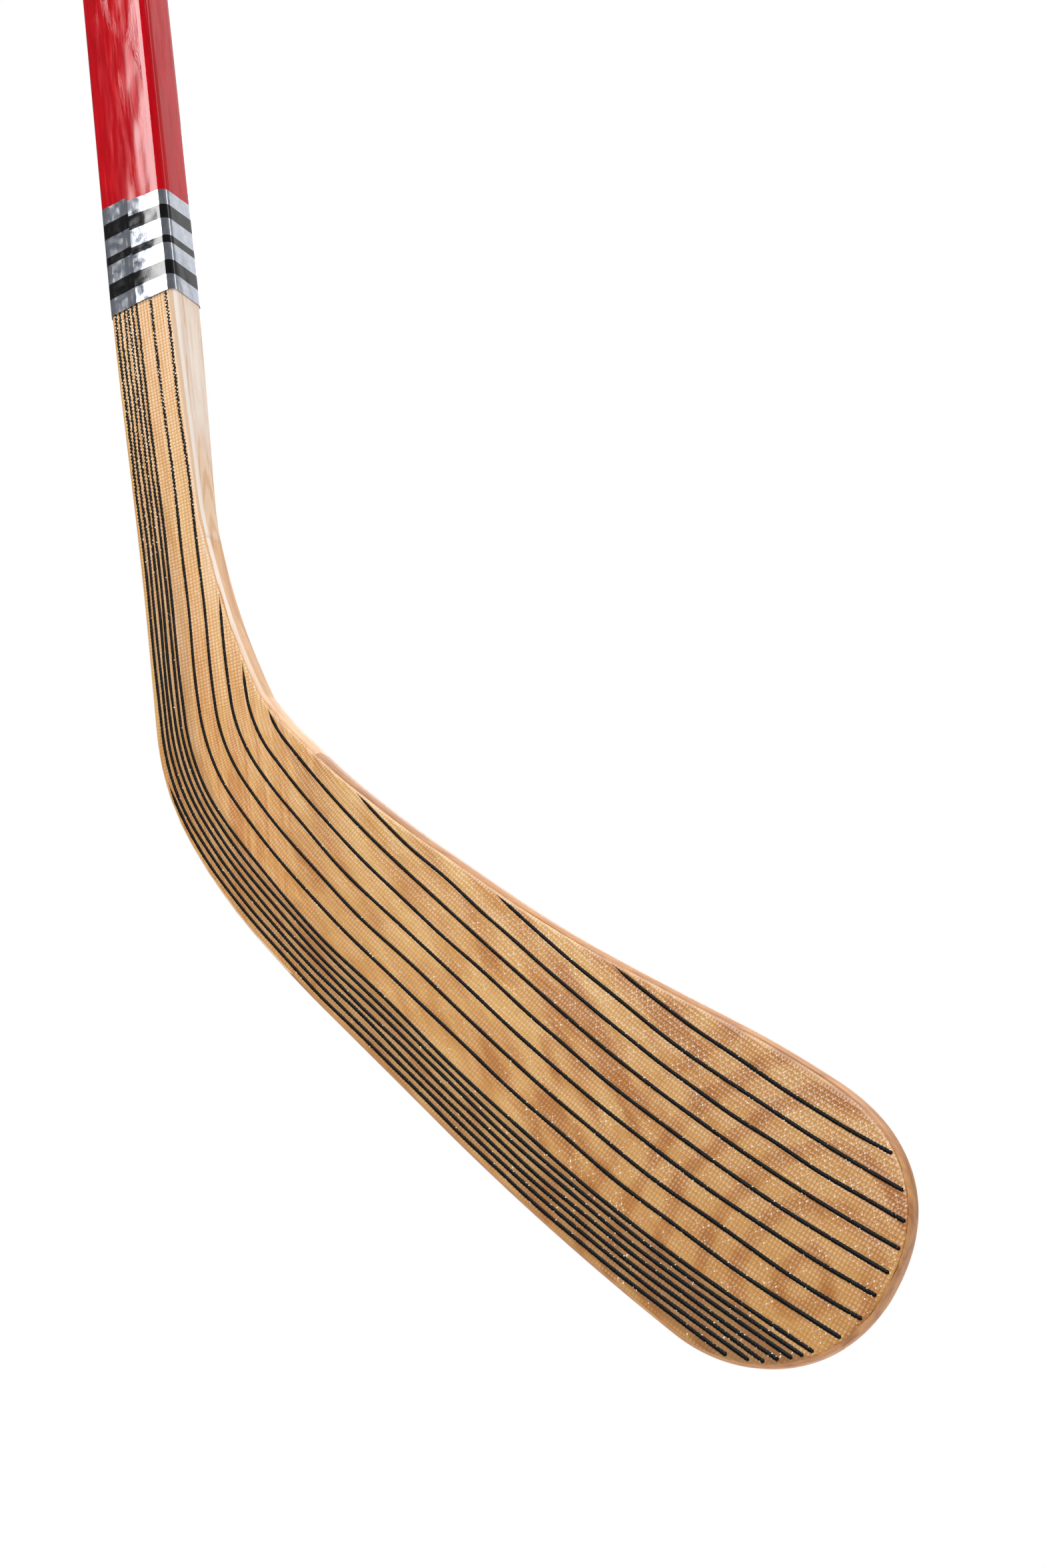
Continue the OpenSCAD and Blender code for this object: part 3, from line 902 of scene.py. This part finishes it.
def shaft_wood_colour(sh, x, y, z, s):
    """Honey-coloured wood, its grain straight down the shaft, more streaked towards the heel."""
    figure = sh.noise(x, y, z, (5.5, 5.5, 75), detail=3, roughness=0.6, distortion=0.3)
    streaks = sh.noise(x, y, z, (1.1, 1.1, 34), detail=3, roughness=0.65)
    fibres = sh.noise(x, y, z, (0.3, 0.3, 5.5))
    colour = sh.ramp(figure, [(0.3, rgb(202, 140, 76)), (0.5, rgb(218, 162, 94)),
                              (0.7, rgb(228, 180, 116))])
    heel = sh.map(s, 110, 210)
    dark = sh.times(sh.map(streaks, 0.46, 0.68), sh.plus(0.2, sh.times(heel, 0.7)))
    colour = sh.blend(dark, colour, rgb(196, 124, 64))
    pale = sh.times(sh.map(streaks, 0.42, 0.28), sh.plus(0.2, sh.times(heel, 0.3)))
    colour = sh.blend(pale, colour, rgb(232, 190, 140))
    return sh.blend(sh.map(fibres, 0.52, 0.72, high=0.22), colour, rgb(176, 116, 64))


# How far the blade wood's fibres and its light and dark bands are turned from the shaft's line, in degrees.
HAIR_ANGLE, BAND_ANGLE = 41, 27


def turned(sh, x, z, degrees):
    """Coordinates across and along a direction turned that far from the shaft's line."""
    sine, cosine = math.sin(math.radians(degrees)), math.cos(math.radians(degrees))
    across = sh.plus(sh.times(x, cosine), sh.times(z, sine))
    along = sh.less(sh.times(x, sine), sh.times(z, cosine))
    return across, along


# Where on the strip the toe's growth rings are centred, and their spacing.
RING_S, RING_D, RING_STEP = 492, 33, 13.5


def toe_rings(sh, x, y, z):
    """Nested arcs of the wood's growth rings, from 0 between them to 1 on a dark one."""
    centre_x, centre_z = (float(v) for v in plane_point(RING_S, RING_D))
    across, along = turned(sh, sh.less(x, centre_x), sh.less(z, centre_z), BAND_ANGLE)
    radius = sh.math("SQRT", sh.plus(sh.times(across, across), sh.times(along, along)))
    wobble = sh.noise(x, y, z, (20, 20, 20), detail=1.5)
    ring = sh.math("COSINE", sh.times(sh.plus(radius, sh.times(wobble, 11.0)), math.tau / RING_STEP))
    return sh.map(ring, -0.3, 0.9)


def blade_wood_colour(sh, x, y, z, s):
    """Blade wood: long light and dark bands, shorter fingers and rings at the toe, and dark hairlines."""
    across, along = turned(sh, x, z, BAND_ANGLE)
    bands = sh.noise(across, y, along, (10, 14, 64), roughness=0.45, distortion=0.35)
    fingers = sh.noise(across, y, along, (4.4, 9, 19), detail=1.5, roughness=0.4, distortion=0.3)
    patches = sh.noise(across, y, along, (22, 22, 30), detail=1)
    toe = sh.map(s, 270, 400)
    tone = sh.plus(bands, sh.times(sh.times(sh.less(fingers, 0.5), 0.7), sh.plus(0.2, toe)))
    tone = sh.plus(tone, sh.times(sh.less(patches, 0.5), 0.35))
    tone = sh.plus(tone, sh.map(s, 340, 250, high=0.06))
    ringed = sh.plus(sh.less(0.6, sh.times(toe_rings(sh, x, y, z), 0.2)), sh.times(sh.less(tone, 0.53), 0.35))
    tone = sh.plus(tone, sh.times(sh.map(s, 390, 440), sh.less(ringed, tone)))
    colour = sh.ramp(tone, [(0.33, rgb(182, 119, 61)), (0.44, rgb(199, 141, 79)),
                            (0.54, rgb(210, 157, 94)), (0.64, rgb(219, 171, 107))])
    across, along = turned(sh, x, z, HAIR_ANGLE)
    hairs = sh.noise(across, y, along, (0.26, 0.26, 3.2), roughness=0.6)
    return sh.blend(sh.map(hairs, 0.54, 0.72, high=0.42), colour, rgb(150, 90, 42))


def weave_height(sh, s, d):
    """The glass cloth's plain weave, from 0 between the threads to 1 at their crowns."""
    warp = sh.math("SINE", sh.times(d, math.pi / WEAVE))
    weft = sh.math("SINE", sh.times(s, math.pi / WEAVE))
    over = sh.times(warp, weft)
    return sh.math("POWER", sh.math("ABSOLUTE", over), 0.8)


def wood_under_cloth(sh, x, y, z, s, d):
    """The shaft's wood and the blade's, which meet at the finger joint with a ragged edge."""
    capped = sh.math("MINIMUM", d, JOINT_TOP_D)
    tooth = sh.times(sh.math("PINGPONG", capped, FINGER_PITCH), 2 / FINGER_PITCH)
    joint = sh.plus(sh.less(JOINT_S - FINGER, sh.times(capped, JOINT_SLOPE)), sh.times(tooth, FINGER))
    ragged = sh.times(sh.less(sh.noise(s, d, y, (18, 2.2, 9), detail=3), 0.5), 44.0)
    on_blade = sh.map(sh.less(sh.plus(s, ragged), joint), -3, 5)
    heel = shaft_wood_colour(sh, x, y, z, s)
    blade = blade_wood_colour(sh, x, y, z, s)
    colour = sh.blend(on_blade, heel, blade)
    return sh.blend(sh.map(s, 320, 480), colour, (0.78, 0.69, 0.59), "MULTIPLY")


DENSE_MIDDLE = 9.5  # the middle of the close yarns
BACK_SHIFT = 400.0  # moves the back's figure, so that it isn't the front's


def cloth_tone(sh, colour, weave, cloudy, s, d):
    """The cloth over the wood: pale crowns, dark gaps, a dark ground among the close yarns, its edges, and a
    painted shadow line just below the foil band.
    """
    neck = sh.map(s, 150, 20)
    show = sh.plus(sh.map(cloudy, 0.35, 0.7, 0.12, 0.42), sh.times(neck, 0.18))
    colour = sh.blend(sh.times(sh.map(weave, 0.35, 0.95), show), colour, rgb(240, 214, 170))
    gap = sh.times(sh.map(weave, 0.35, 0.05), sh.plus(0.28, sh.times(neck, 0.15)))
    colour = sh.blend(gap, colour, rgb(168, 118, 66))
    from_middle = sh.math("ABSOLUTE", sh.less(d, DENSE_MIDDLE))
    dense = sh.times(sh.map(from_middle, 8.6, 6.4), sh.map(s, 40, 160))
    dense = sh.times(dense, sh.plus(0.36, sh.map(s, 380, 490, high=0.24)))
    colour = sh.blend(dense, colour, rgb(138, 100, 70))
    # Painted shadow: a dark brown line on the cloth just below the foil band's lower edge.
    colour = sh.blend(sh.map(s, 1.4, 0.3, high=0.7), colour, rgb(84, 52, 32))
    margin = sh.times(sh.map(d, 26.0, 27.2), sh.map(s, 140, 60))
    return sh.blend(margin, colour, rgb(228, 196, 166))


def glass_cloth(name, shift=0.0):
    """Clear glass cloth with the wood's colour coming through it."""
    sh = Shader(name)
    x, y, z = sh.position()
    s, d, _ = sh.strip()
    y = sh.plus(y, shift)
    weave = weave_height(sh, s, d)
    cloudy = sh.noise(s, d, y, (16, 5, 9))
    colour = cloth_tone(sh, wood_under_cloth(sh, x, y, z, s, d), weave, cloudy, s, d)
    wave = sh.noise(s, d, y, (6, 4, 9))
    relief = sh.plus(sh.times(weave, 0.05), sh.times(wave, 0.12))
    rough = sh.map(cloudy, 0.3, 0.7, 0.12, 0.2)
    return sh.finish(colour, rough, normal=sh.bump(relief, 1.0, 0.5), ior=1.4)


# Bare wood's tones as sRGB values: light, middle and dark.
EDGE_TONES = ((246, 232, 218), (240, 220, 204), (222, 190, 164))
WEDGE_TONES = ((236, 196, 154), (226, 178, 134), (206, 150, 104))
BLADE_TONES = ((204, 151, 102), (189, 135, 88), (162, 106, 64))


def arched(sh, colour, figure, s, y):
    """The arched figure of the narrow faces, which comes in on the neck."""
    arches = sh.less(sh.times(s, 1 / 17), sh.times(sh.times(y, y), 0.05))
    arches = sh.math("SINE", sh.times(sh.plus(arches, sh.times(figure, 1.6)), math.tau))
    tan = sh.blend(sh.map(arches, -0.2, 0.9), rgb(236, 202, 168), rgb(222, 176, 134))
    share = sh.map(sh.plus(s, sh.times(sh.less(figure, 0.5), 60.0)), 50, 78)
    return sh.blend(sh.times(share, 0.92), colour, tan)


def butt_grain_and_painted_edge_highlight(sh, colour, pores, s):
    """End grain on the butt, and a painted highlight: a pale line along the rounded corners on the neck."""
    normal = sh.node("SeparateXYZ", {0: sh.node("TexCoord", {}).outputs["Normal"]}).outputs
    end_tone = sh.blend(sh.map(pores, 0.45, 0.65), rgb(206, 170, 126), rgb(160, 118, 76))
    colour = sh.blend(sh.map(normal[2], 0.8, 0.95), colour, end_tone)
    facing = sh.math("ABSOLUTE", normal[1])
    # Painted highlight: the pale line follows the corners' rounding through their normals, where the corner
    # catches the light.
    line = sh.times(sh.map(facing, 0.12, 0.4), sh.map(facing, 0.99, 0.86))
    line = sh.times(line, sh.map(s, 190, 110, 0.0, 0.85))
    return sh.blend(line, colour, rgb(250, 238, 228))


def bare_wood(name, tones, along, gloss, neck=False):
    """Bare or thinly sealed wood on the rim and the narrow faces. along is the grain's coordinate."""
    sh = Shader(name)
    light, middle, dark = (rgb(*tone) for tone in tones)
    x, y, z = sh.position()
    s, d, _ = sh.strip()
    lengthwise = s if along == "s" else z
    side = d if along == "s" else x
    figure = sh.noise(side, y, lengthwise, (6, 3.2, 46), detail=3, roughness=0.55, distortion=0.8)
    lines = sh.noise(side, y, lengthwise, (0.5, 0.5, 20), detail=3, roughness=0.6)
    pores = sh.noise(side, y, lengthwise, (0.16, 0.16, 2.4), detail=1)
    colour = sh.ramp(figure, [(0.32, dark), (0.5, middle), (0.66, light)])
    colour = sh.blend(sh.map(lines, 0.5, 0.7, high=0.35), colour, dark)
    colour = sh.blend(sh.map(pores, 0.6, 0.75, high=0.25), colour, tuple(c * 0.6 for c in dark))
    if neck:
        colour = arched(sh, colour, figure, s, y)
    if along == "z":
        # End grain on the butt, and a painted highlight along the rounded corners.
        colour = butt_grain_and_painted_edge_highlight(sh, colour, pores, s)
    rough = sh.map(figure, 0.3, 0.7, gloss, gloss + 0.12)
    relief = sh.plus(sh.times(lines, 0.6), sh.times(pores, 0.4))
    return sh.finish(colour, rough, normal=sh.bump(relief, 0.05), ior=1.48)


def black_yarn():
    sh = Shader("black_yarn")
    s, across, k = sh.strip()
    lay = sh.plus(sh.times(s, 1 / 0.65), sh.times(across, 1.4))
    strands = sh.math("SINE", sh.times(sh.plus(lay, k), math.tau))
    fuzz = sh.noise(s, across, k, (0.5, 0.5, 0.13), detail=3)
    colour = sh.blend(sh.map(fuzz, 0.5, 0.75), rgb(4, 4, 4), rgb(14, 13, 12))
    # Pale grey-brown specks on the yarn: painted highlights on its stray fibres.
    painted_fibre_glints = sh.noise(s, across, k, (1.6, 1.2, 0.31))
    colour = sh.blend(sh.map(painted_fibre_glints, 0.68, 0.8, high=0.25), colour, rgb(110, 98, 86))
    rough = sh.map(fuzz, 0.3, 0.7, 0.22, 0.4)
    relief = sh.plus(sh.times(strands, 0.5), fuzz)
    return sh.finish(colour, rough, normal=sh.bump(relief, 0.03), ior=1.22)


def painted_glint_bead():
    sh = Shader("painted_glint_bead")
    x, y, z = sh.position()
    cloud = sh.noise(x, y, z, (0.5, 0.5, 0.5), detail=1)
    # Pale cream to near white: painted glints on the raised beads and on the flecks by the yarns near the
    # toe; on the neck the flecks are pale weft.
    colour = sh.blend(sh.map(cloud, 0.35, 0.65), rgb(240, 214, 176), rgb(255, 246, 228))
    return sh.finish(colour, sh.map(cloud, 0.3, 0.7, 0.12, 0.25), ior=1.5)


def end_grain(name, light, dark, ring):
    """The shaft's inner strips, which show their end grain at the butt."""
    sh = Shader(name)
    x, y, z = sh.position()
    bend = sh.noise(x, y, z, (9, 9, 60))
    rings = sh.math("SINE", sh.plus(sh.times(sh.plus(y, sh.times(x, 0.25)), math.tau / ring),
                                    sh.times(bend, 9.0)))
    pores = sh.noise(x, y, z, (0.22, 0.22, 3), roughness=0.6)
    colour = sh.blend(sh.map(rings, -0.6, 0.95), light, dark)
    colour = sh.blend(sh.map(pores, 0.55, 0.7, high=0.5), colour, tuple(c * 0.5 for c in dark))
    relief = sh.plus(sh.times(rings, 0.2), pores)
    return sh.finish(colour, sh.map(pores, 0.3, 0.7, 0.55, 0.75),
                     normal=sh.bump(relief, 0.06), ior=1.45)


def shaft_glass():
    sh = Shader("shaft_glass")
    x, y, z = sh.position()
    threads = sh.math("SINE", sh.times(x, math.tau / 0.9))
    cloud = sh.noise(x, y, z, (2, 2, 6))
    colour = sh.blend(sh.map(threads, -0.5, 0.8), rgb(196, 164, 112), rgb(224, 200, 152))
    colour = sh.blend(sh.map(cloud, 0.4, 0.7, high=0.4), colour, rgb(178, 142, 92))
    return sh.finish(colour, sh.map(cloud, 0.3, 0.7, 0.3, 0.45),
                     normal=sh.bump(threads, 0.02), ior=1.5)


def dress_shaft_wood():
    """The CAD nodes that stay: the shaft's inner strips and glass skins, seen at the butt."""
    core = end_grain("core_wood", rgb(214, 180, 132), rgb(178, 136, 88), 2.2)
    ply = end_grain("face_ply_wood", rgb(224, 192, 146), rgb(190, 150, 104), 1.1)
    glass = shaft_glass()
    chosen = {"shaft_core": core, "shaft_face_ply": ply, "shaft_skin": glass}
    for name, node in nodes.items():
        for start, material in chosen.items():
            if name.startswith(start):
                for material_slot in node.material_slots:
                    material_slot.material = material


# ---- studio

FLOOR_DROP, FLOOR_REACH = 0.35, 40  # the floor's depth below the stick and its half width, in metres
GLOW_FROM, GLOW_TO = 2500, 7000  # its glow grows between these distances, in millimetres


# Each soft box: azimuth from -Y towards +X, elevation and distance from the band, size, radiance and roll.
SOFT_BOXES = {
    "key": (-20.65, 36, 4.4, (1.56, 2.4), 9, -11),
    "left_panel": (-50, 30, 4.8, (2.2, 3.2), 0.03, 0),
    "back_panel": (160.9, 36, 4.8, (2.0, 3.2), 0.6, 0),
    "edge_strip": (108, 34, 4.6, (0.9, 2.6), 1.2, 0),
    "right_fill": (95, 57, 4.4, (2.8, 2.4), 4.3, 0),
    "back_fill": (200, 20, 5.2, (2.8, 3.2), 3.2, 0),
}


def soft_box(name, azimuth, elevation, distance, size, radiance, roll):
    band = Vector((0, 0, (-SHAFT_LEN + BAND_H / 2) * MM))
    a, e = math.radians(azimuth), math.radians(elevation)
    away = Vector((math.sin(a) * math.cos(e), -math.cos(a) * math.cos(e), math.sin(e)))
    data = bpy.data.lights.new(name, "AREA")
    data.shape = "RECTANGLE"
    data.size, data.size_y = size
    data.energy = radiance * math.pi * size[0] * size[1]
    light = add(name, data)
    light.location = band + distance * away
    turn = Matrix.Rotation(math.radians(roll), 4, "Z")
    light.rotation_euler = (away.to_track_quat("Z", "Y").to_matrix().to_4x4() @ turn).to_euler()


def room():
    """White paper where the camera looks past the stick, and a dim room with a bright ceiling as light."""
    world = bpy.data.worlds.new("studio")
    bpy.context.scene.world = world
    world.use_nodes = True
    sky = Tree(world.node_tree)
    direction = sky.node("TexCoord", {}).outputs["Generated"]
    facing = sky.node("VectorMath", {0: direction, 1: (0.45, 0.8, 0.25)}, operation="DOT_PRODUCT")
    level = sky.map(facing.outputs["Value"], 0.1, 0.95, 0.09, 0.3)
    height = sky.node("SeparateXYZ", {0: direction}).outputs[2]
    ceiling = sky.map(height, 0.72, 0.88, 0.0, 1.85)
    dim = sky.node("Background", {"Color": (1, 1, 1), "Strength": sky.plus(level, ceiling)}).outputs[0]
    paper = sky.node("Background", {"Color": (1, 1, 1), "Strength": 1.0}).outputs[0]
    seen = sky.node("LightPath", {}).outputs["Is Camera Ray"]
    sky.node("OutputWorld", {0: sky.node("MixShader", {0: seen, 1: dim, 2: paper}).outputs[0]})


def pale_floor():
    """A pale floor. Its far part glows a little, to even it out beyond the soft boxes' reach."""
    floor_z = cad_box[0][2] - FLOOR_DROP
    corners = [(x * FLOOR_REACH, y * FLOOR_REACH, floor_z) for x, y in ((-1, -1), (1, -1), (1, 1), (-1, 1))]
    mesh = bpy.data.meshes.new("floor")
    mesh.from_pydata(corners, [], [(0, 1, 2, 3)])
    floor = add("floor", mesh)
    sh = Shader("pale_floor")
    x, y, _ = sh.position()
    away = sh.math("SQRT", sh.plus(sh.times(x, x), sh.times(y, y)))
    glow = sh.map(away, GLOW_FROM, GLOW_TO, 0.0, 0.42)
    mesh.materials.append(sh.finish((0.68, 0.68, 0.675), 0.8, emission_color=(1, 1, 1),
                                    emission_strength=glow))


def studio():
    for name, values in SOFT_BOXES.items():
        soft_box(name, *values)
    room()
    pale_floor()
    settings = bpy.context.scene.view_settings
    settings.view_transform = "Standard"
    settings.look = "None"


# ---- build

edge_wood = bare_wood("edge_wood", EDGE_TONES, "z", 0.26, neck=True)
wedge_wood = bare_wood("wedge_wood", WEDGE_TONES, "z", 0.36)
blade_wood = bare_wood("blade_wood", BLADE_TONES, "s", 0.4)
make_wood(edge_wood, wedge_wood, blade_wood)
make_cloth(-1, "blade_cloth_front", glass_cloth("glass_cloth_front"))
make_cloth(1, "blade_cloth_back", glass_cloth("glass_cloth_back", BACK_SHIFT))
yarn_material = black_yarn()
# The beads' material: pale dots that are painted glints.
glint_bead_material = painted_glint_bead()
for side, face in ((-1, "front"), (1, "back")):
    make_yarns(side, "yarns_" + face, yarn_material)
    make_beads(side, "painted_glint_beads_" + face, glint_bead_material)
make_lacquer(red_lacquer())
make_band(silver_foil(), stripe_ink())
dress_shaft_wood()
studio()
